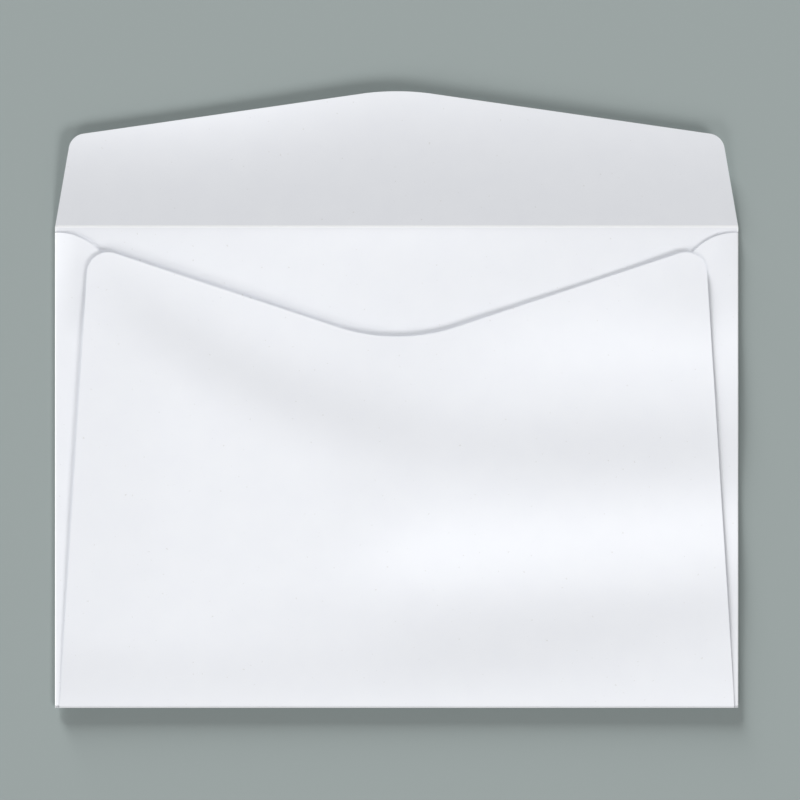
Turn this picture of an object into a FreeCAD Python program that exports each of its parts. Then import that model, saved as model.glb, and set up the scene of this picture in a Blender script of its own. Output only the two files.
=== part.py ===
import FreeCAD, Part
import math, os
import Sketcher

# Side-seam paper envelope, empty and open, lying on its front panel.
# One die-cut sheet: front panel, a creased top flap, two side flaps turned in, and a
# back panel folded up from the bottom edge and glued over the side flaps.
# Origin: middle of the front panel's outer face, which rests at z = 0.
# +X runs along the long side, +Y from the bottom fold to the flap, +Z up through the layers.

doc = FreeCAD.newDocument("envelope")
V = FreeCAD.Vector

# Name, value, meaning; lengths in millimetres, angles in degrees.
sizes = [
    ("body_width", 162.0, "long side of the folded envelope"),
    ("body_height", 114.0, "bottom fold to flap crease"),
    ("paper_thickness", 0.12, "one layer of the sheet"),
    ("inner_gap", 0.26, "space kept inside a side fold"),
    ("glue_bite", 0.01, "how far glued layers sink into each other"),
    ("crease_radius", 1.2, "outer radius of the flap crease"),
    ("crease_angle", 8.1, "slope of the flap where it leaves the crease"),
    ("tip_angle", 3.4, "slope of the flap at its free edge"),
    ("flap_run", 33.4, "length of the flap along its curve, before the tip is rounded"),
    ("flap_apex", 32.74, "crease to the sharp apex, seen from above"),
    ("flap_shoulder", 21.72, "crease to the flap's outer corners"),
    ("flap_inset", 3.9, "how far those corners stand in from the side"),
    ("flap_corner_radius", 4.0, "rounding of the flap's outer corners"),
    ("flap_tip_radius", 60.0, "rounding of the flap's blunt tip"),
    ("fold_stop_top", 1.4, "side fold ends this far below the crease"),
    ("fold_stop_bottom", 0.4, "side fold ends this far above the bottom fold"),
    ("side_flap_width", 14.0, "side fold to the inner edge of the side flap"),
    ("side_flap_radius", 13.8, "quarter round at the top of the side flap"),
    ("side_flap_taper", 4.0, "slant at the bottom of the side flap"),
    ("back_inset_bottom", 0.9, "back panel's side stands in at the bottom fold"),
    ("back_inset_top", 7.85, "back panel's side stands in at its top corner"),
    ("back_drop_top", 4.35, "crease down to the back panel's top corner"),
    ("back_corner_radius", 5.0, "rounding of the back panel's top corners"),
    ("throat_depth", 28.55, "crease down to the sharp point of the throat"),
    ("throat_radius", 45.0, "rounding at the bottom of the throat"),
    ("place_low", 17.0, "bottom fold to the back panel's first section"),
    ("place_quarter", 42.0, "to its second section"),
    ("place_middle", 72.0, "to its third section"),
    ("rise_low", 0.60, "back panel lifts this much at its first section"),
    ("rise_quarter", 1.00, "lift at the second section"),
    ("rise_middle", 1.25, "lift at the third section"),
    ("rise_throat", 1.40, "lift in line with the crease"),
    ("cutter_height", 10.0, "outline cutters reach from below the sheet to well above it"),
    ("cutter_margin", 1.0, "how far cutters and uncut sheets run past what they cut"),
]
sheet = doc.addObject("Spreadsheet::Sheet", "dimensions")
sheet.Label = "dimensions"
for row, (name, number, meaning) in enumerate(sizes, start=1):
    sheet.set(f"A{row}", name)
    sheet.set(f"B{row}", str(number))
    sheet.setAlias(f"B{row}", name)
    sheet.set(f"C{row}", meaning)
doc.recompute()


def sized(text):
    """Point every alias in a formula at the spreadsheet."""
    for name, number, meaning in sizes:
        text = text.replace(f"<{name}>", f"dimensions.{name}")
    return text


# Formulas used more than once.
halfWidth = "<body_width> / 2"
halfHeight = "<body_height> / 2"
sideFold = "(2 * <paper_thickness> + <inner_gap>) / 2"
sideFlapLow = "(<paper_thickness> + <inner_gap>)"
backLow = f"({sideFlapLow} + <paper_thickness> - <glue_bite>)"
bottomFold = f"({backLow} + <paper_thickness>) / 2"
foldLine = f"({halfWidth} - {sideFold})"


def originPlane(body, role):
    return next(f for f in body.Origin.OriginFeatures if f.Role == role)


def newSketch(body, label, role, offset="0"):
    sketch = body.newObject("Sketcher::SketchObject", label)
    sketch.AttachmentSupport = [(originPlane(body, role), "")]
    sketch.MapMode = "FlatFace"
    sketch.setExpression("AttachmentOffset.Base.z", sized(offset))
    doc.recompute()
    return sketch


def drawProfile(sketch, corners, arcs=None):
    """Closed outline: corners as pairs of formulas, arcs as edge number: (radius, side)."""
    arcs = arcs or {}
    points = [tuple(float(sketch.evalExpression(sized(c))) for c in corner) for corner in corners]
    count = len(points)
    for i, (ax, ay) in enumerate(points):
        bx, by = points[(i + 1) % count]
        line = Part.LineSegment(V(ax, ay, 0), V(bx, by, 0))
        if i not in arcs:
            sketch.addGeometry(line, False)
            continue
        radius = float(sketch.evalExpression(sized(arcs[i][0])))
        chord = math.hypot(bx - ax, by - ay)
        sag = radius - math.sqrt(radius ** 2 - chord ** 2 / 4)
        nx, ny = -(by - ay) / chord * arcs[i][1], (bx - ax) / chord * arcs[i][1]
        top = V((ax + bx) / 2 - nx * sag, (ay + by) / 2 - ny * sag, 0)
        sketch.addGeometry(Part.Arc(V(ax, ay, 0), top, V(bx, by, 0)), False)
    # An arc of a sketch always runs anticlockwise, so its ends may be swapped.
    first = [2 if i in arcs and arcs[i][1] < 0 else 1 for i in range(count)]
    for i in range(count):
        following = (i + 1) % count
        sketch.addConstraint(Sketcher.Constraint("Coincident", i, 3 - first[i], following, first[following]))
    for i, corner in enumerate(corners):
        for axis, formula in zip("XY", corner):
            at = sketch.addConstraint(
                Sketcher.Constraint("Distance" + axis, -1, 1, i, first[i], points[i]["XY".index(axis)]))
            sketch.renameConstraint(at, f"corner{i}{axis}")
            sketch.setExpression(f"Constraints.corner{i}{axis}", sized(formula))
    for i, (radius, side) in arcs.items():
        at = sketch.addConstraint(Sketcher.Constraint("Radius", i, float(sketch.evalExpression(sized(radius)))))
        sketch.renameConstraint(at, f"radius{i}")
        sketch.setExpression(f"Constraints.radius{i}", sized(radius))


def planTool(label, corners, roundings):
    """Upright prism over an outline seen from above; roundings as (x, y, radius) formulas."""
    body = doc.addObject("PartDesign::Body", label)
    sketch = newSketch(body, label + "_outline", "XY_Plane", "-<cutter_margin>")
    drawProfile(sketch, corners)
    pad = body.newObject("PartDesign::Pad", label + "_pad")
    pad.Profile = sketch
    pad.setExpression("Length", sized("<cutter_height>"))
    doc.recompute()
    last = pad
    for number, (x, y, radius) in enumerate(roundings):
        at = [float(sketch.evalExpression(sized(c))) for c in (x, y)]
        names = []
        for index, edge in enumerate(last.Shape.Edges, start=1):
            upright = all(math.hypot(v.X - at[0], v.Y - at[1]) < 1e-4 for v in edge.Vertexes)
            if len(edge.Vertexes) == 2 and upright:
                names.append(f"Edge{index}")
        fillet = body.newObject("PartDesign::Fillet", f"{label}_rounding{number}")
        fillet.Base = (last, names)
        fillet.setExpression("Radius", sized(radius))
        doc.recompute()
        last = fillet
    body.Tip = last
    return body


def trimmed(label, base, tool):
    cut = doc.addObject("Part::MultiCommon", label)
    cut.Shapes = [base, tool]
    doc.recompute()
    return cut


# Front panel and flap: one strip in side view, bent at the crease, as wide as the envelope.
crease = f"({halfHeight} - <crease_radius> * tan(<crease_angle> / 2))"
flapRadius = "(<flap_run> * 180 / pi / (<crease_angle> - <tip_angle>))"


def creasePoint(depth):
    radius = f"(<crease_radius> - {depth})"
    return (f"{crease} + {radius} * sin(<crease_angle>)", f"<crease_radius> - {radius} * cos(<crease_angle>)")


def tipPoint(depth):
    centreY = f"({crease} + (<crease_radius> + {flapRadius}) * sin(<crease_angle>))"
    centreZ = f"(<crease_radius> - (<crease_radius> + {flapRadius}) * cos(<crease_angle>))"
    radius = f"({flapRadius} + {depth})"
    return (f"{centreY} - {radius} * sin(<tip_angle>)", f"{centreZ} + {radius} * cos(<tip_angle>)")


strip = doc.addObject("PartDesign::Body", "front_strip")
stripSection = newSketch(strip, "front_section", "YZ_Plane")
drawProfile(
    stripSection,
    [(f"-{halfHeight}", "0"), (crease, "0"), creasePoint("0"), tipPoint("0"),
     tipPoint("<paper_thickness>"), creasePoint("<paper_thickness>"),
     (crease, "<paper_thickness>"), (f"-{halfHeight}", "<paper_thickness>")],
    {1: ("<crease_radius>", 1), 2: (flapRadius, -1),
     4: (f"{flapRadius} + <paper_thickness>", 1), 5: ("<crease_radius> - <paper_thickness>", -1)})
stripPad = strip.newObject("PartDesign::Pad", "front_pad")
stripPad.Profile = stripSection
stripPad.Midplane = True
stripPad.setExpression("Length", sized("<body_width> + 2 * <cutter_margin>"))
doc.recompute()

bottomLine = f"-{halfHeight} + {bottomFold}"
backSide = f"({halfWidth} - <back_inset_bottom>)"
foldTop = f"({halfHeight} - <fold_stop_top>)"
foldBottom = f"(-{halfHeight} + <fold_stop_bottom>)"
shoulderX = f"({halfWidth} - <flap_inset>)"
shoulderY = f"({halfHeight} + <flap_shoulder>)"
apexY = f"{halfHeight} + <flap_apex>"
rightSide = [
    (backSide, bottomLine), (backSide, f"-{halfHeight} - <cutter_margin>"), (halfWidth, f"-{halfHeight} - <cutter_margin>"),
    (halfWidth, foldBottom), (foldLine, foldBottom), (foldLine, foldTop),
    (halfWidth, foldTop), (halfWidth, halfHeight), (shoulderX, shoulderY)]
leftSide = [(f"-{x}", y) for x, y in reversed(rightSide)]
frontPlan = planTool(
    "front_plan", rightSide + [("0", apexY)] + leftSide,
    [(shoulderX, shoulderY, "<flap_corner_radius>"), (f"-{shoulderX}", shoulderY, "<flap_corner_radius>"),
     ("0", apexY, "<flap_tip_radius>")])
front = trimmed("front_and_flap", strip, frontPlan)


# Side flaps and back panel bulge a little over the empty pocket: flat along the bottom fold
# and the sides, highest in the middle of the throat.
stations = [
    (bottomLine, None), (f"-{halfHeight} + <place_low>", "<rise_low>"),
    (f"-{halfHeight} + <place_quarter>", "<rise_quarter>"),
    (f"-{halfHeight} + <place_middle>", "<rise_middle>"), (halfHeight, "<rise_throat>")]


def bulgedSheet(label, low):
    """One layer of paper with its lower face at the height low along both sides."""
    body = doc.addObject("PartDesign::Body", label)
    sections = []
    for number, (along, rise) in enumerate(stations):
        # The plane's normal points along -Y, so the offset changes sign.
        sketch = newSketch(body, f"{label}_section{number}", "XZ_Plane", f"-({along})")
        half = f"({foldLine} / 2)"
        up = f"{rise} / 2" if rise else "0"
        high = f"{low} + <paper_thickness>"
        corners = [
            (f"-{foldLine}", low), (f"-{half}", f"{low} + {up}"), (half, f"{low} + {up}"), (foldLine, low),
            (foldLine, high), (half, f"{high} + {up}"), (f"-{half}", f"{high} + {up}"), (f"-{foldLine}", high)]
        arcs = {}
        if rise:
            bend = f"({half} ^ 2 + ({rise} / 2) ^ 2) / {rise}"
            arcs = {0: (bend, 1), 1: (bend, -1), 2: (bend, 1), 4: (bend, -1), 5: (bend, 1), 6: (bend, -1)}
        drawProfile(sketch, corners, arcs)
        sections.append(sketch)
    loft = body.newObject("PartDesign::AdditiveLoft", label + "_loft")
    loft.Profile = sections[0]
    loft.Sections = sections[1:]
    loft.Ruled = False
    doc.recompute()
    return body


# Side flap: quarter round at the top, straight inner edge, short slant at the bottom.
flapEdge = f"({foldLine} - <side_flap_width>)"
sidePlan = planTool(
    "side_flap_plan",
    [(flapEdge, f"{foldBottom} + <side_flap_taper>"), (f"{flapEdge} + <side_flap_taper>", foldBottom),
     (foldLine, foldBottom), (foldLine, foldTop), (flapEdge, foldTop)],
    [(flapEdge, foldTop, "<side_flap_radius>")])
rightFlap = trimmed("side_flap_right", bulgedSheet("side_sheet", sideFlapLow), sidePlan)
leftFlap = doc.addObject("Part::Mirroring", "side_flap_left")
leftFlap.Source = rightFlap
leftFlap.Normal = V(1, 0, 0)

# Back panel: slightly tapering sides, round top corners, shallow V throat.
cornerX = f"({halfWidth} - <back_inset_top>)"
cornerY = f"({halfHeight} - <back_drop_top>)"
throatY = f"({halfHeight} - <throat_depth>)"
backPlan = planTool(
    "back_plan",
    [(f"-{backSide}", bottomLine), (backSide, bottomLine), (cornerX, cornerY), ("0", throatY),
     (f"-{cornerX}", cornerY)],
    [(cornerX, cornerY, "<back_corner_radius>"), (f"-{cornerX}", cornerY, "<back_corner_radius>"),
     ("0", throatY, "<throat_radius>")])
back = trimmed("back_panel", bulgedSheet("back_sheet", backLow), backPlan)


def foldRoll(label, role, offset, ends, radius, backwards):
    """Half turn of paper round a straight fold line; ends are where the fold starts and stops."""
    body = doc.addObject("PartDesign::Body", label)
    sketch = newSketch(body, label + "_section", role, offset)
    drawProfile(sketch, [(ends[0], "0"), (ends[1], "0"), (ends[1], "<paper_thickness>"),
                         (ends[0], "<paper_thickness>")])
    along = [float(sketch.evalExpression(sized(end))) for end in ends]
    height = float(sketch.evalExpression(sized(radius)))
    axis = sketch.addGeometry(Part.LineSegment(V(along[0], height, 0), V(along[1], height, 0)), True)
    for end, number in ((1, 0), (2, 1)):
        for direction, formula, now in (("X", ends[number], along[number]), ("Y", radius, height)):
            at = sketch.addConstraint(Sketcher.Constraint("Distance" + direction, -1, 1, axis, end, now))
            sketch.renameConstraint(at, f"axis{end}{direction}")
            sketch.setExpression(f"Constraints.axis{end}{direction}", sized(formula))
    roll = body.newObject("PartDesign::Revolution", label + "_roll")
    roll.Profile = sketch
    roll.ReferenceAxis = (sketch, ["Axis0"])
    roll.Angle = 180
    roll.Reversed = backwards
    doc.recompute()
    return body


sideRoll = foldRoll("side_fold_right", "YZ_Plane", foldLine, (foldBottom, foldTop), sideFold, True)
leftRoll = doc.addObject("Part::Mirroring", "side_fold_left")
leftRoll.Source = sideRoll
leftRoll.Normal = V(1, 0, 0)
bottomRoll = foldRoll("bottom_fold", "XZ_Plane", f"-({bottomLine})", (f"-{backSide}", backSide), bottomFold, True)

envelope = doc.addObject("Part::MultiFuse", "envelope")
envelope.Label = "envelope"
envelope.Shapes = [front, sideRoll, leftRoll, rightFlap, leftFlap, bottomRoll, back]
doc.recompute()

for item in doc.Objects:
    if any(word in item.State for word in ("Invalid", "Error")):
        raise RuntimeError(f"{item.Label} did not build: {item.State}")
    if hasattr(item, "Shape") and not item.isDerivedFrom("App::OriginFeature"):
        if item.Shape.isNull() or not item.Shape.isValid():
            raise RuntimeError(f"{item.Label} has no valid shape")
if len(envelope.Shape.Solids) != 1:
    raise RuntimeError(f"the sheet came out in {len(envelope.Shape.Solids)} pieces")

box = envelope.Shape.BoundBox
print(f"envelope {box.XLength:.3f} x {box.YLength:.3f} x {box.ZLength:.3f} mm, "
      f"volume {envelope.Shape.Volume:.1f} mm3, lowest {box.ZMin:.4f}")
os.makedirs("parts", exist_ok=True)
envelope.Shape.exportStep("parts/envelope.step")
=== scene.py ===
import bpy, bmesh, math
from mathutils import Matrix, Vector


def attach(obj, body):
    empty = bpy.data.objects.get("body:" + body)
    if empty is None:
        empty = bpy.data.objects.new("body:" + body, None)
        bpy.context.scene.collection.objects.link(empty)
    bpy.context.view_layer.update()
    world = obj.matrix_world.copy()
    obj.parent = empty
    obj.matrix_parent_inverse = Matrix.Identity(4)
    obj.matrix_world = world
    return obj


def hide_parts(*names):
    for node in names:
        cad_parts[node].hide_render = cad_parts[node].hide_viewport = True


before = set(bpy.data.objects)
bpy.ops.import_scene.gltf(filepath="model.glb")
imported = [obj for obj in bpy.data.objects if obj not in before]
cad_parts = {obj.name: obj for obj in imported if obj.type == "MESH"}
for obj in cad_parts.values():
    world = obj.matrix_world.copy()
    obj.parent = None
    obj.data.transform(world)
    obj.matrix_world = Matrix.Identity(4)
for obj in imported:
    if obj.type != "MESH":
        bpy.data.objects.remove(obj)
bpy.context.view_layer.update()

# The envelope is cut, folded and shaped in millimetres, and made metres at the end.
# It is one die-cut sheet, drawn flat first: x across, y from the bottom fold to the flap.
blank = {
    "halfWidth": 81.0,           # C6 body, 162 x 114
    "halfHeight": 57.0,          # flap crease at +57, bottom fold at -57
    "paper": 0.12,
    "sideRoll": 0.19,            # fold radius at the middle of the paper
    "bottomRoll": 0.29,
    "rollSteps": 10,             # small turns in one fold
    "sideFoldTop": 55.68,
    "sideFoldBottom": -56.5,
    "notch": 0.1,                # the die cuts this much between a fold's end and the corner
    "sideFlap": (14.0, 13.8, 4.0),      # width, round at the top, slant at the bottom
    "backInset": 0.99,           # back panel's side stands in at the bottom fold
    "backCorner": (73.06, 52.79, 5.0),  # x, y, rounding
    "throat": (28.60, 45.0),     # y of its sharp point, rounding
    "shoulder": (77.17, 21.84, 4.0),    # flap's outer corner: x, distance from the crease, rounding
    "tip": (32.93, 60.0),        # flap's sharp point: distance from the crease, rounding
    "cell": 1.6,                 # spacing of the mesh lines
    "edgeLines": (0.5, 1.1, 2.0, 3.2),  # extra lines along the back panel's free edges
}

# How the folded sheet lies: nothing of it is dead flat.
lie = {
    "creaseBend": (0.45, 3, 8.5),       # length, small turns, degrees
    "flapBend": (24, -7.5),             # small turns, degrees over the flap, more of them near its tip
    # The flap's left half flattens by so many degrees more, at this height up the flap and this far out.
    "flapTwist": (3.4, 23.0, 60.0),
    "backLift": 0.80,                   # how far the back panel stands off its fold
    "backRun": 30.0,                    # over what run, at its right
    "leftRun": (0.25, 16.0, 85.0),      # at its left this share comes quickly, the rest slowly
    "backTilt": 0.44,                   # more of that at the left edge, less at the right
    "backShift": 0.09,                  # it was folded a hair to the right
    "backShiftRun": 3.0,
    "leftToRight": (-60.0, 20.0),       # between these x the left way of rising turns into the right one
    "cornerStand": (0.45, 48.0, 28.0),  # its right upper corner stands up, from this x and this y on
    "sideSlope": 0.010,                 # side flaps slope up from their folds to the back panel's edge
    "sideFlapRun": 6.0,                 # and lie flat at the bottom fold
    "seamShare": 0.92,                  # under the panel they come up to it, where the glue holds them
    "seamTop": (42.0, 50.0),            # the glue ends between these heights
    "cornerCurl": {-1: 0.56, 1: 0.24},  # left and right side flap's rounded corner curls up by this
    "curlRun": ((-1.0, 4.5), (28.0, 53.0)),   # from the fold inwards, and from below
    # How far the front panel's edges stand off the table, and over what run.
    "edgeLift": {"bottom": (0.14, 50.0), "right": (0.06, 45.0), "left": (0.08, 45.0)},
}


# Select what test accepts, going by its middle, and nothing else.
def pick(sheet, kind, test):
    bpy.ops.mesh.select_mode(type=kind)
    bpy.ops.mesh.select_all(action="DESELECT")
    mesh = bmesh.from_edit_mesh(sheet.data)
    for item in {"VERT": mesh.verts, "EDGE": mesh.edges, "FACE": mesh.faces}[kind]:
        corners = [item] if kind == "VERT" else item.verts
        middle = sum((v.co for v in corners), Vector()) / len(corners)
        item.select = test(middle.x, middle.y)
    mesh.select_flush_mode()
    bmesh.update_edit_mesh(sheet.data)


def near(a, b):
    return abs(a - b) < 0.01


def pull(x, y):
    bpy.ops.mesh.extrude_region_move(TRANSFORM_OT_translate={"value": (x, y, 0)})


def cut(x, y, acrossX, acrossY):
    bpy.ops.mesh.bisect(plane_co=(x, y, 0), plane_no=(acrossX, acrossY, 0), threshold=0.0005)


def roundCorner(sheet, x, y, radius, segments):
    pick(sheet, "VERT", lambda vx, vy: near(vx, x) and near(vy, y))
    mesh = bmesh.from_edit_mesh(sheet.data)
    corner = next(v for v in mesh.verts if v.select)
    ways = [(e.other_vert(corner).co - corner.co).normalized() for e in corner.link_edges]
    turn = math.pi - ways[0].angle(ways[1])
    fullness = math.cos(turn / 2) / (1 + math.cos(turn / 2))   # makes the arc a true circle's
    bpy.ops.mesh.bevel(affect="VERTICES", offset_type="OFFSET", offset=radius * math.tan(turn / 2),
                       segments=segments, profile=((1 + fullness) / 2) ** 2)


# The flat sheet: front panel, then each panel drawn out from its fold line.
def cutBlank():
    b = blank
    bpy.ops.object.select_all(action="DESELECT")
    bpy.ops.mesh.primitive_plane_add(size=2)
    sheet = bpy.context.object
    sheet.name = "envelope_paper"
    sheet.scale = (b["halfWidth"], b["halfHeight"], 1)
    bpy.ops.object.transform_apply(scale=True)
    bpy.ops.object.mode_set(mode="EDIT")

    sideX = b["halfWidth"] - b["sideRoll"] - b["paper"] / 2
    bottomY = -b["halfHeight"] + b["bottomRoll"] + b["paper"] / 2
    backX = b["halfWidth"] - b["backInset"]
    notch = b["notch"]
    nibTop, nibBottom = b["sideFoldTop"] + notch, b["sideFoldBottom"] - notch
    for x in (-sideX, -backX - notch, -backX, backX, backX + notch, sideX):
        bpy.ops.mesh.select_all(action="SELECT")
        cut(x, 0, 1, 0)
    for y in (bottomY, nibBottom, b["sideFoldBottom"], b["sideFoldTop"], nibTop):
        bpy.ops.mesh.select_all(action="SELECT")
        cut(0, y, 0, 1)
    # What is left beyond the fold lines is waste.
    pick(sheet, "FACE", lambda x, y: (abs(x) > sideX and nibBottom < y < nibTop)
         or (abs(x) < backX + notch and y < bottomY))
    bpy.ops.mesh.delete(type="FACE")

    for side in (-1, 1):
        width, rounding, taper = b["sideFlap"]
        roll = math.pi * b["sideRoll"]
        inner = sideX + roll + width
        pick(sheet, "EDGE", lambda x, y: near(x, side * sideX)
             and b["sideFoldBottom"] < y < b["sideFoldTop"])
        pull(side * roll, 0)
        pull(side * width, 0)
        roundCorner(sheet, side * inner, b["sideFoldTop"], rounding, segments=14)
        roundCorner(sheet, side * inner, b["sideFoldBottom"], taper, segments=1)

    roll = math.pi * b["bottomRoll"]
    cornerX, cornerY, cornerRound = b["backCorner"]
    throatY, throatRound = b["throat"]
    # Past the bottom fold the sheet is upside down, so a height y on the back panel lies at far - y.
    far = 2 * bottomY - roll
    pick(sheet, "EDGE", lambda x, y: abs(x) < backX and near(y, bottomY))
    pull(0, -roll)
    pull(0, -(cornerY - bottomY))
    bpy.ops.transform.resize(value=(cornerX / backX, 1, 1), center_override=(0, far - cornerY, 0))
    bpy.ops.mesh.subdivide(number_cuts=1)
    pick(sheet, "VERT", lambda x, y: near(x, 0) and near(y, far - cornerY))
    bpy.ops.transform.translate(value=(0, cornerY - throatY, 0))
    for side in (-1, 1):
        roundCorner(sheet, side * cornerX, far - cornerY, cornerRound, segments=12)
    roundCorner(sheet, 0, far - throatY, throatRound, segments=18)

    shoulderX, shoulderRise, shoulderRound = b["shoulder"]
    tipRise, tipRound = b["tip"]
    pick(sheet, "EDGE", lambda x, y: near(y, b["halfHeight"]))
    pull(0, shoulderRise)
    bpy.ops.transform.resize(value=(shoulderX / b["halfWidth"], 1, 1),
                             center_override=(0, b["halfHeight"] + shoulderRise, 0))
    pick(sheet, "FACE", lambda x, y: y > b["halfHeight"])
    bpy.ops.mesh.dissolve_faces()
    # One outline without the corners that the cuts left in it, then its middle is drawn up to the tip.
    shoulderY = b["halfHeight"] + shoulderRise
    pick(sheet, "VERT", lambda x, y: near(y, shoulderY) and abs(x) < shoulderX - 0.05)
    bpy.ops.mesh.dissolve_verts()
    pick(sheet, "EDGE", lambda x, y: near(y, shoulderY))
    bpy.ops.mesh.subdivide(number_cuts=1)
    pick(sheet, "VERT", lambda x, y: near(x, 0) and near(y, shoulderY))
    bpy.ops.transform.translate(value=(0, tipRise - shoulderRise, 0))
    for side in (-1, 1):
        roundCorner(sheet, side * shoulderX, shoulderY, shoulderRound, segments=10)
    roundCorner(sheet, 0, b["halfHeight"] + tipRise, tipRound, segments=14)
    return sheet, {"sideX": sideX, "bottomY": bottomY, "far": far, "backX": backX,
                   "reachX": inner, "reachY": far - cornerY}


# Mesh lines across the whole sheet, close together in the folds.
def scoreSheet(sheet, lines):
    b = blank
    cell, rollSteps = b["cell"], b["rollSteps"]
    sideRoll, bottomRoll = math.pi * b["sideRoll"], math.pi * b["bottomRoll"]
    length, steps = lie["creaseBend"][:2]
    flapSteps = lie["flapBend"][0]
    flapStart = b["halfHeight"] + length
    flapCell = (b["tip"][0] - length) / flapSteps
    lines["crease"] = [b["halfHeight"] + length * k / steps for k in range(steps)]
    lines["flap"] = [flapStart + flapCell * k for k in range(flapSteps)]
    lines["side"] = [lines["sideX"] + sideRoll * k / rollSteps for k in range(rollSteps + 1)]
    lines["bottom"] = [lines["bottomY"] - bottomRoll * k / rollSteps for k in range(rollSteps + 1)]
    upright = [side * x for side in (-1, 1) for x in lines["side"]]
    most = int(lines["reachX"] / cell)
    upright += [cell * k for k in range(-most, most + 1)]
    level = lines["crease"] + lines["flap"] + lines["bottom"]
    level += [cell * k for k in range(int(lines["reachY"] / cell), int(b["halfHeight"] / cell) + 1)]
    for x in upright:
        bpy.ops.mesh.select_all(action="SELECT")
        cut(x, 0, 1, 0)
    for y in level:
        bpy.ops.mesh.select_all(action="SELECT")
        cut(0, y, 0, 1)
    # Closer lines beside the back panel's free edges.
    cornerX, cornerY = b["backCorner"][:2]
    cornerAt = Vector((cornerX, lines["far"] - cornerY))
    throatAt = Vector((0, lines["far"] - b["throat"][0]))
    footAt = Vector((lines["backX"], lines["bottomY"] - bottomRoll))
    inside = (cornerAt + throatAt + footAt) / 3
    for side in (-1, 1):
        for a, c in ((footAt, cornerAt), (throatAt, cornerAt)):
            along = (c - a).normalized()
            across = Vector((-along.y, along.x))
            if across.dot(inside - a) < 0:
                across.negate()
            for inset in b["edgeLines"]:
                at = a + across * inset
                pick(sheet, "FACE", lambda x, y: x * side > 0 and y < footAt.y)
                cut(side * at.x, at.y, side * across.x, across.y)


sheet, lines = cutBlank()
print("blank cut")
scoreSheet(sheet, lines)
bpy.ops.object.mode_set(mode="OBJECT")
print("sheet scored", len(sheet.data.vertices), len(sheet.data.polygons))


# Turn what lies beyond a hinge line about that line; flat is where each corner was in the blank.
def hinge(sheet, flat, beyond, axis, at, degrees):
    mesh = bmesh.from_edit_mesh(sheet.data)
    for corner, (x, y) in zip(mesh.verts, flat):
        corner.select = beyond(x, y)
    mesh.select_flush_mode()
    bmesh.update_edit_mesh(sheet.data)
    bpy.ops.transform.rotate(value=-math.radians(degrees), orient_axis=axis, orient_type="GLOBAL",
                             center_override=at)


# Fold over several close hinges, all across one axis; each next hinge has moved with the paper.
def bendAlong(sheet, flat, axis, hinges, turns, belongs):
    way = 1 if hinges[-1] > hinges[0] else -1
    place, height, lean = hinges[0], 0.0, 0.0
    sense = {"X": 1, "Y": -1}[axis] * way
    for number, (line, turn) in enumerate(zip(hinges, turns)):
        if number:
            step = abs(line - hinges[number - 1])
            place += way * step * math.cos(math.radians(lean))
            height += step * math.sin(math.radians(lean))
        at = (0, place, height) if axis == "X" else (place, 0, height)
        hinge(sheet, flat, lambda x, y: belongs(x, y) and ((y if axis == "X" else x) - line) * way > 1e-4,
              axis, at, sense * turn)
        lean += turn


# The first and last hinge take half a share, so the fold comes out round.
def evenTurns(total, hinges):
    share = total / (len(hinges) - 1)
    return [share / 2] + [share] * (len(hinges) - 2) + [share / 2]


def foldSheet(sheet, lines):
    flat = [(v.co.x, v.co.y) for v in sheet.data.vertices]
    bpy.ops.object.mode_set(mode="EDIT")
    bpy.ops.mesh.select_mode(type="VERT")
    slack = blank["notch"] / 2
    sideFrom, sideTo = blank["sideFoldBottom"] - slack, blank["sideFoldTop"] + slack
    isSide = lambda x, y: abs(x) > lines["sideX"] and sideFrom < y < sideTo
    isBack = lambda x, y: y < lines["bottomY"] and abs(x) < lines["backX"] + slack
    isFlap = lambda x, y: y > blank["halfHeight"]
    for side in (-1, 1):
        hinges = [side * x for x in lines["side"]]
        bendAlong(sheet, flat, "Y", hinges, evenTurns(180, hinges),
                  lambda x, y: isSide(x, y) and x * side > 0)
    bendAlong(sheet, flat, "X", lines["bottom"], evenTurns(180, lines["bottom"]), isBack)
    hinges = lines["crease"] + lines["flap"]
    creaseTurns = [lie["creaseBend"][2] / len(lines["crease"])] * len(lines["crease"])
    steps, straighten = lie["flapBend"]
    flapTurns = [straighten * (2 * k + 1) / steps ** 2 for k in range(steps)]
    bendAlong(sheet, flat, "X", hinges, creaseTurns + flapTurns, isFlap)
    bpy.ops.object.mode_set(mode="OBJECT")
    return flat


# 0 at start, 1 at end, smooth between.
def ease(value, start, end):
    t = min(1.0, max(0.0, (value - start) / (end - start)))
    return t * t * (3 - 2 * t)


# Soft buckles that run across the envelope: each one's line, how wide it is, and how steeply the paper
# climbs there towards the flap.
buckles = [
    {"y": lambda x: 4.5 + 0.0035 * max(0, 35 - x) ** 2, "width": 9.0,
     "climb": lambda x: 0.050 + 0.028 * ease(-x, -5, 30) - 0.078 * ease(-x, 52, 80)},
    {"y": lambda x: 29, "width": 9.5, "climb": lambda x: -0.046 * ease(x, 5, 45)},
    {"y": lambda x: -19 + 0.067 * (x - 12.8), "width": 9.5,
     "climb": lambda x: -0.056 * ease(x, -22, 10)},
    {"y": lambda x: -43.5 + 0.20 * (x - 24.7), "width": 9.0,
     "climb": lambda x: 0.026 - 0.014 * ease(-x, -25, 25) - 0.012 * ease(-x, 40, 70)},
    {"y": lambda x: 57, "width": 6.0, "climb": lambda x: -0.060 * math.exp(-(x / 36) ** 2)},
]
buckleShare = {"sharedByAll": 0.75, "sideRun": 12.0}   # the rest is the back panel's, less near its sides


def buckleHeight(x, y):
    height = 0.0
    for one in buckles:
        width = one["width"]
        height += one["climb"](x) * width * math.sqrt(math.pi) / 2 * math.erf((y - one["y"](x)) / width)
    return height


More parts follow.
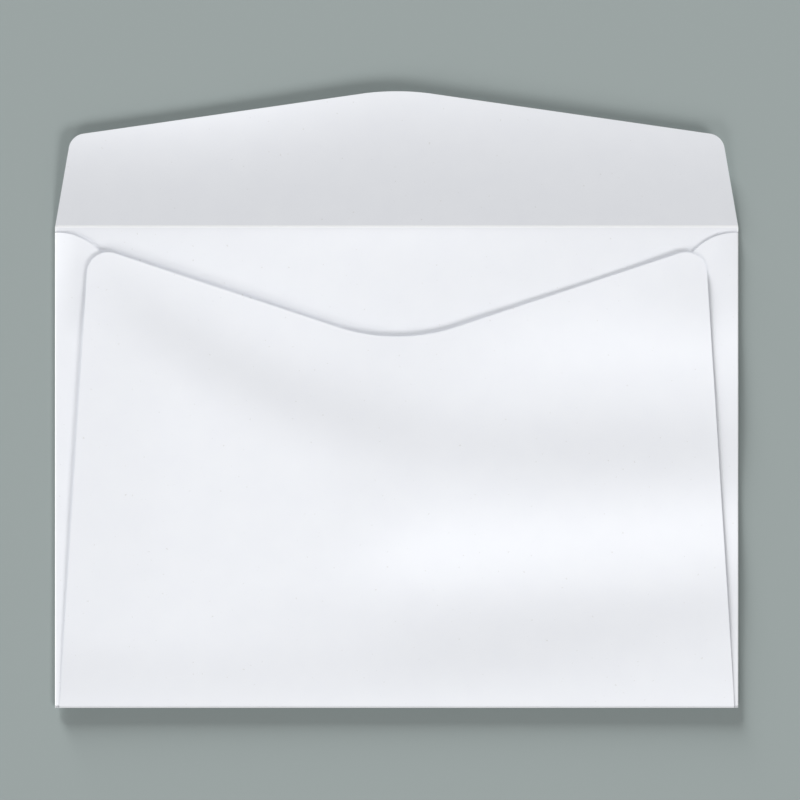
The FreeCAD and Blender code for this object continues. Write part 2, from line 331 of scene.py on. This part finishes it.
# The front panel is a very shallow dish, so its edges stand off the table.
def edgeHeight(x, y):
    height = 0.0
    for edge, along, reach in (("bottom", -y, blank["halfHeight"]), ("right", x, blank["halfWidth"]),
                               ("left", -x, blank["halfWidth"])):
        rise, run = lie["edgeLift"][edge]
        height += rise * (max(0.0, along - reach + run) / run) ** 2
    return height


# How far the back panel stands above where its fold leaves it.
def backRise(x, y, lines):
    cornerX, cornerY = blank["backCorner"][:2]
    fromFold = y - lines["bottomY"]
    right = ease(fromFold, 0, lie["backRun"])
    share, quick, slow = lie["leftRun"]
    left = share * ease(fromFold, 0, quick) + (1 - share) * (1 - max(0.0, 1 - fromFold / slow) ** 2)
    toRight = ease(x, *lie["leftToRight"])
    lift = lie["backLift"] - lie["backTilt"] * x / blank["halfWidth"]
    stand = lift * (right * toRight + left * (1 - toRight))
    height, fromX, fromY = lie["cornerStand"]
    return stand + height * ease(x, fromX, cornerX) * ease(y, fromY, cornerY)


# The side flaps lie low in the open and come up under the back panel, and their round corners curl.
def sideRise(x, y, lines):
    cornerX, cornerY = blank["backCorner"][:2]
    inwards = lines["sideX"] - abs(x)
    along = (y - lines["bottomY"]) / (cornerY - lines["bottomY"])
    panelEdge = lines["sideX"] - lines["backX"] + (lines["backX"] - cornerX) * along
    under = ease(inwards, panelEdge, blank["sideFlap"][0])
    most = backRise(x, y, lines) * lie["seamShare"]
    low = min(inwards * lie["sideSlope"], most)
    across, upwards = lie["curlRun"]
    curl = lie["cornerCurl"][1 if x > 0 else -1] * ease(inwards, *across) * ease(y, *upwards)
    glued = low + (most - low) * under * (1 - ease(y, *lie["seamTop"]))
    return min(max(glued, curl), max(most, curl * (1 - under)))


# Small heights that a fresh fold leaves: the panels stand off each other and buckle a little.
def settleSheet(sheet, flat, lines):
    reach = blank["halfHeight"]
    sideStart = lines["side"][-1]
    degrees, up, out = lie["flapTwist"]
    for v, (fx, fy) in zip(sheet.data.vertices, flat):
        x, y = v.co.x, v.co.y
        fromFold = y - lines["bottomY"]
        if fy > reach:
            v.co.z -= math.radians(degrees) * ease(-x, 0, out) * (fy - reach) ** 3 / (3 * up ** 2)
            v.co.z += edgeHeight(x, reach)
            continue
        above = (y + reach) / (2 * reach)
        start, end = buckleHeight(x, -reach), buckleHeight(x, reach)
        wave = buckleHeight(x, y)
        common = (wave - start * (1 - above) - end * above) * buckleShare["sharedByAll"]
        v.co.z += common + edgeHeight(x, y)
        inner = min(1.0, max(0.0, (lines["sideX"] - abs(x)) / buckleShare["sideRun"]))
        ownWave = (wave - start) * (1 - buckleShare["sharedByAll"]) * inner
        if fy < lines["bottom"][-1]:
            v.co.x += lie["backShift"] * ease(fromFold, 0, lie["backShiftRun"])
            v.co.z += backRise(x, y, lines) + ownWave * ease(fromFold, 0, lie["backRun"])
        elif abs(fx) > sideStart:
            v.co.z += sideRise(x, y, lines) * ease(fromFold, 0, lie["sideFlapRun"])
    lowest = min(v.co.z for v in sheet.data.vertices)
    for v in sheet.data.vertices:
        v.co.z += blank["paper"] / 2 - lowest


# The flat sheet is the paper's own UV map, in metres.
def keepFlatMap(sheet, flat):
    layer = sheet.data.uv_layers.new(name="flatSheet")
    for loop in sheet.data.loops:
        x, y = flat[loop.vertex_index]
        layer.data[loop.index].uv = (x / 1000, y / 1000)


flat = foldSheet(sheet, lines)
keepFlatMap(sheet, flat)
print("folded")
settleSheet(sheet, flat, lines)
print("settled")


# An sRGB hex code, as a colour picker shows it, in Blender's linear numbers.
def fromHex(code):
    parts = [int(code[i:i + 2], 16) / 255 for i in (0, 2, 4)]
    return tuple(c / 12.92 if c <= 0.04045 else ((c + 0.055) / 1.055) ** 2.4 for c in parts) + (1.0,)


def addNode(tree, kind, inputs=None, **settings):
    node = tree.nodes.new(kind)
    for name, value in settings.items():
        setattr(node, name, value)
    for name, value in (inputs or {}).items():
        if isinstance(value, bpy.types.NodeSocket):
            tree.links.new(value, node.inputs[name])
        else:
            node.inputs[name].default_value = value
    return node


def newMaterial(name):
    material = bpy.data.materials.new(name)
    material.use_nodes = True
    tree = material.node_tree
    return material, tree, tree.nodes["Principled BSDF"]


# 1 along a fold's crest, where a lighter colour is painted as a highlight, 0 a little way from it.
def foldHighlightMask(tree, where):
    spread = addNode(tree, "ShaderNodeSeparateXYZ", {0: where}).outputs
    across = addNode(tree, "ShaderNodeMath", {0: spread["X"]}, operation="ABSOLUTE").outputs[0]
    marks = []
    folds = ((across, lines["side"]), (spread["Y"], lines["bottom"]), (spread["Y"], lines["crease"]))
    for axis, at in folds:
        middle = sum(at) / len(at) / 1000
        away = addNode(tree, "ShaderNodeMath", {0: axis, 1: middle, 2: paperLook["foldHighlightWidth"] / 1000},
                       operation="COMPARE")
        marks.append(away.outputs[0])
    first = addNode(tree, "ShaderNodeMath", {0: marks[0], 1: marks[1]}, operation="MAXIMUM").outputs[0]
    return addNode(tree, "ShaderNodeMath", {0: first, 1: marks[2]}, operation="MAXIMUM").outputs[0]


# Uncoated offset paper, 100 g/m2, wood-free and machine made: matte, a cool white from its brightener,
# faintly cloudy where the pulp lay thicker, with a few darker fibres pressed in.
paperLook = {
    "thick": "E7E9EE",
    "thin": "EBEDF1",
    "cloudSize": 7.0,            # mm
    "fleck": "DDDEE0",
    "fleckSize": 0.9,
    "fleckFrom": (0.74, 0.80),   # only where the noise is this strong, so flecks are rare
    "fibreSize": 0.6,            # real fibres are 0.03 mm wide: drawn coarse so that they show
    "fibreDepth": (0.25, 0.00002),      # bump strength, metres
    "foldHighlight": "F3F4F6",           # painted highlight: the fold's crest is coloured lighter, as if it caught the light
    "foldHighlightWidth": 0.30,
    "sheen": 0.12,
    "roughness": 0.85,
    # painted shade: the cut edge's two greys keep it dark under the lamps.
    "edgeShadeDark": "9C9EA2",
    "edgeShadeLight": "A3A5A8",
    "edgeFibre": 0.4,
    "edgeSheen": 0.1,
    "edgeRoughness": 0.95,
}


def offsetPaper():
    look = paperLook
    material, tree, shader = newMaterial("uncoated_offset_paper")
    where = addNode(tree, "ShaderNodeUVMap", uv_map="flatSheet").outputs["UV"]
    cloud = addNode(tree, "ShaderNodeTexNoise",
                    {"Vector": where, "Scale": 1000 / look["cloudSize"], "Detail": 3.0})
    pulp = addNode(tree, "ShaderNodeMix", {0: cloud.outputs["Fac"], 6: fromHex(look["thick"]),
                                           7: fromHex(look["thin"])}, data_type="RGBA")
    speck = addNode(tree, "ShaderNodeTexNoise",
                    {"Vector": where, "Scale": 1000 / look["fleckSize"], "Detail": 1.0})
    none, full = look["fleckFrom"]
    rare = addNode(tree, "ShaderNodeMapRange", {0: speck.outputs["Fac"], 1: none, 2: full})
    flecked = addNode(tree, "ShaderNodeMix", {0: rare.outputs[0], 6: pulp.outputs[2],
                                              7: fromHex(look["fleck"])}, data_type="RGBA")
    # painted highlight: the paper is coloured lighter along its folds.
    foldHighlighted = addNode(tree, "ShaderNodeMix", {0: foldHighlightMask(tree, where), 6: flecked.outputs[2],
                                             7: fromHex(look["foldHighlight"])}, data_type="RGBA")
    tree.links.new(foldHighlighted.outputs[2], shader.inputs["Base Color"])
    shader.inputs["Roughness"].default_value = look["roughness"]
    shader.inputs["Specular IOR Level"].default_value = look["sheen"]
    fibre = addNode(tree, "ShaderNodeTexNoise",
                    {"Vector": where, "Scale": 1000 / look["fibreSize"], "Detail": 4.0})
    strength, depth = look["fibreDepth"]
    bump = addNode(tree, "ShaderNodeBump",
                   {"Height": fibre.outputs["Fac"], "Strength": strength, "Distance": depth})
    tree.links.new(bump.outputs["Normal"], shader.inputs["Normal"])
    return material


# The same paper where the die has cut it, with painted shade: the edge is coloured a dull grey so that it
# stays dark where the lamps strike it.
def cutEdgePaintedShade():
    look = paperLook
    material, tree, shader = newMaterial("cut_edge_painted_shade")
    where = addNode(tree, "ShaderNodeTexCoord").outputs["Object"]
    fibre = addNode(tree, "ShaderNodeTexNoise",
                    {"Vector": where, "Scale": 1000 / look["edgeFibre"], "Detail": 2.0})
    edgeShade = addNode(tree, "ShaderNodeMix", {0: fibre.outputs["Fac"], 6: fromHex(look["edgeShadeDark"]),
                                           7: fromHex(look["edgeShadeLight"])}, data_type="RGBA")
    tree.links.new(edgeShade.outputs[2], shader.inputs["Base Color"])
    shader.inputs["Roughness"].default_value = look["edgeRoughness"]
    shader.inputs["Specular IOR Level"].default_value = look["edgeSheen"]
    return material


# Give the paper its thickness, turn millimetres into metres and shade it smooth.
def finishSheet(sheet):
    bpy.ops.object.select_all(action="DESELECT")
    bpy.context.view_layer.objects.active = sheet
    sheet.select_set(True)
    solid = sheet.modifiers.new("paper", "SOLIDIFY")
    solid.thickness = blank["paper"]
    solid.offset = 0
    solid.material_offset_rim = 1        # the rim gets the cut edge's material and its painted shade
    bpy.ops.object.modifier_apply(modifier=solid.name)
    sheet.scale = (0.001, 0.001, 0.001)
    bpy.ops.object.transform_apply(scale=True)
    bpy.ops.object.shade_smooth_by_angle(angle=math.radians(40))


for material in (offsetPaper(), cutEdgePaintedShade()):
    sheet.data.materials.append(material)
finishSheet(sheet)
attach(sheet, "root")
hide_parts("envelope")
print("paper made", len(sheet.data.polygons))


studio = {
    "floorSize": 40.0,           # wide enough that a low view doesn't reach past its end
    "floorHex": "969F9E",
    "floorRoughness": 0.9,
    "floorSheen": 0.2,
    # Each lamp: degrees from +Y towards -X, degrees above the floor, strength, degrees it looks wide.
    "lamps": {
        "key": (20.0, 10.3, 7.25, 18.0),
        "fillRight": (228.0, 42.0, 1.38, 24.0),
        "fillLeft": (156.0, 40.0, 0.70, 28.0),
    },
    "tentPower": 0.47,
    # Sine of the height above the floor, and how brightly the tent glows there.
    "tentGlow": ((0.0, 0.3), (0.15, 0.8), (0.3, 1.0), (0.45, 0.9), (0.7, 0.25), (1.0, 0.15)),
}


def buildStudio():
    bpy.ops.object.select_all(action="DESELECT")
    bpy.ops.mesh.primitive_plane_add(size=studio["floorSize"])
    floor = bpy.context.object
    floor.name = "floor"
    # Dyed card, smooth and matte: an even grey-green with no shine.
    material, tree, shader = newMaterial("pale_matte_board")
    shader.inputs["Base Color"].default_value = fromHex(studio["floorHex"])
    shader.inputs["Roughness"].default_value = studio["floorRoughness"]
    shader.inputs["Specular IOR Level"].default_value = studio["floorSheen"]
    floor.data.materials.append(material)

    for name, (around, above, strength, angle) in studio["lamps"].items():
        around, above = math.radians(around), math.radians(above)
        level = math.cos(above)
        towards = Vector((-math.sin(around) * level, math.cos(around) * level, math.sin(above)))
        lamp = bpy.data.lights.new(name, "SUN")
        lamp.energy = strength
        lamp.angle = math.radians(angle)
        lampObject = bpy.data.objects.new(name, lamp)
        lampObject.rotation_euler = towards.to_track_quat("Z", "Y").to_euler()
        bpy.context.collection.objects.link(lampObject)

    world = bpy.data.worlds.new("lightTent")
    bpy.context.scene.world = world
    world.use_nodes = True
    tree = world.node_tree
    direction = addNode(tree, "ShaderNodeTexCoord").outputs["Generated"]
    height = addNode(tree, "ShaderNodeSeparateXYZ", {0: direction}).outputs["Z"]
    ramp = addNode(tree, "ShaderNodeValToRGB", {"Fac": height})
    stops = ramp.color_ramp.elements
    while len(stops) < len(studio["tentGlow"]):
        stops.new(0.5)
    for stop, (place, glow) in zip(stops, studio["tentGlow"]):
        stop.position = place
        stop.color = (glow, glow, glow, 1)
    background = tree.nodes["Background"]
    tree.links.new(ramp.outputs["Color"], background.inputs["Color"])
    background.inputs["Strength"].default_value = studio["tentPower"]


# Straight above, through a long lens from far up, so the raised flap doesn't look larger.
framing = {"centre": (0.00079, 0.01598), "width": 0.18976, "height": 3.0}


def placeCamera():
    camera = bpy.data.objects.new("camera", bpy.data.cameras.new("camera"))
    camera.data.lens = camera.data.sensor_width * framing["height"] / framing["width"]
    camera.data.clip_end = 20 * framing["height"]
    camera.location = (*framing["centre"], framing["height"])
    bpy.context.collection.objects.link(camera)
    bpy.context.scene.camera = camera


buildStudio()
placeCamera()
bpy.context.scene.view_settings.view_transform = "Standard"
print("studio ready")
